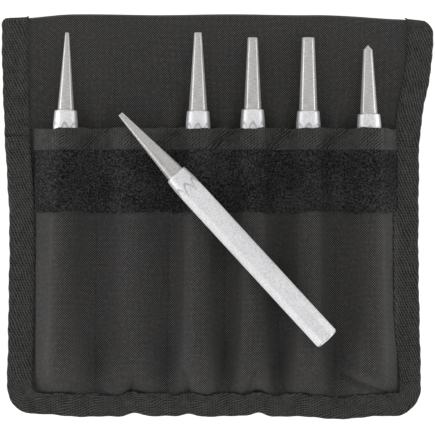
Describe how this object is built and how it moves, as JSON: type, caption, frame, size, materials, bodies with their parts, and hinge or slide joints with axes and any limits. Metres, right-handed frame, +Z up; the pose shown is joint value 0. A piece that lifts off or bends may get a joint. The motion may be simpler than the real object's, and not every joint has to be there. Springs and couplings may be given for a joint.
{
  "type": "drive punch set in a folding wallet",
  "caption": "Solid steel drive punches with octagonal shanks and tapered tips, in a black cloth wallet with sewn pockets and a fold-back flap.",
  "frame": {"origin": "middle of the open set's footprint, on the table", "axes": "+X across the wallet along the row of pockets, +Y towards the top fold and the punch tips, +Z up from the table"},
  "size_m": [0.1724, 0.1608, 0.027],
  "materials": {
    "black_cloth": "fine plain-woven coated polyester",
    "binding_tape": "folded twill binding tape",
    "mouth_tape": "narrow puckered edge tape",
    "loop_pile": "soft brushed loop pile",
    "hook_tape": "stiff moulded hooks on a woven base",
    "black_thread": "twisted polyester thread",
    "satin_steel": "satin plated shank, fine-ground tapered tip"
  },
  "bodies": {
    "wallet": {"back_panel": "black_cloth", "pocket_panel": "black_cloth", "panel_binding": "binding_tape", "panel_binding_stitches": "black_thread", "mouth_tape": "mouth_tape", "mouth_tape_stitches": "black_thread", "loop_strip": "loop_pile", "loop_strip_stitches": "black_thread", "divider_stitches": "black_thread", "mouth_bar_tacks": "black_thread"},
    "flap_fold": {"fold_cloth": "black_cloth", "fold_binding": "binding_tape"},
    "flap_spine": {"spine_cloth": "black_cloth", "spine_binding": "binding_tape"},
    "flap": {"flap_panel": "black_cloth", "flap_binding": "binding_tape", "flap_binding_stitches": "black_thread", "hook_strip": "hook_tape", "hook_strip_stitches": "black_thread"},
    "drift_punch_1mm": {"drift_punch_1mm": "satin_steel"},
    "drift_punch_2mm": {"drift_punch_2mm": "satin_steel"},
    "drift_punch_3mm": {"drift_punch_3mm": "satin_steel"},
    "drift_punch_4mm": {"drift_punch_4mm": "satin_steel"},
    "drift_punch_5mm": {"drift_punch_5mm": "satin_steel"},
    "centre_punch": {"centre_punch": "satin_steel"}
  },
  "joints": [
    {"name": "fold_turn", "type": "hinge", "parent": "wallet", "child": "flap_fold", "pos_m": [0, 0.079, 0.0033], "axis": [-1, 0, 0], "range_deg": [-90.01, 0]},
    {"name": "spine_turn", "type": "hinge", "parent": "flap_fold", "child": "flap_spine", "pos_m": [0, 0.079, 0.0013], "axis": [-1, 0, 0], "range_deg": [-170, 0]},
    {"name": "flap_turn", "type": "hinge", "parent": "flap_spine", "child": "flap", "pos_m": [0, 0.065, 0.0013], "axis": [-1, 0, 0], "range_deg": [-88, 0]},
    {"name": "drift_punch_1mm_slide", "type": "slide", "parent": "wallet", "child": "drift_punch_1mm", "axis": [0.0175, 0.9998, 0], "range_m": [-0.009, 0.13]},
    {"name": "drift_punch_3mm_slide", "type": "slide", "parent": "wallet", "child": "drift_punch_3mm", "axis": [0, 1, 0], "range_m": [-0.009, 0.13]},
    {"name": "drift_punch_4mm_slide", "type": "slide", "parent": "wallet", "child": "drift_punch_4mm", "axis": [0, 1, 0], "range_m": [-0.007, 0.13]},
    {"name": "drift_punch_5mm_slide", "type": "slide", "parent": "wallet", "child": "drift_punch_5mm", "axis": [0, 1, 0], "range_m": [-0.007, 0.13]},
    {"name": "centre_punch_slide", "type": "slide", "parent": "wallet", "child": "centre_punch", "axis": [-0.014, 0.9999, 0], "range_m": [-0.004, 0.13]},
    {"name": "loose_punch_lift", "type": "slide", "parent": "wallet", "child": "drift_punch_2mm", "axis": [0, 0, 1], "range_m": [0, 0.05]}
  ],
  "couplings": [
    {"joint": "fold_turn", "follows": "spine_turn", "ratio": 0.52941}
  ]
}
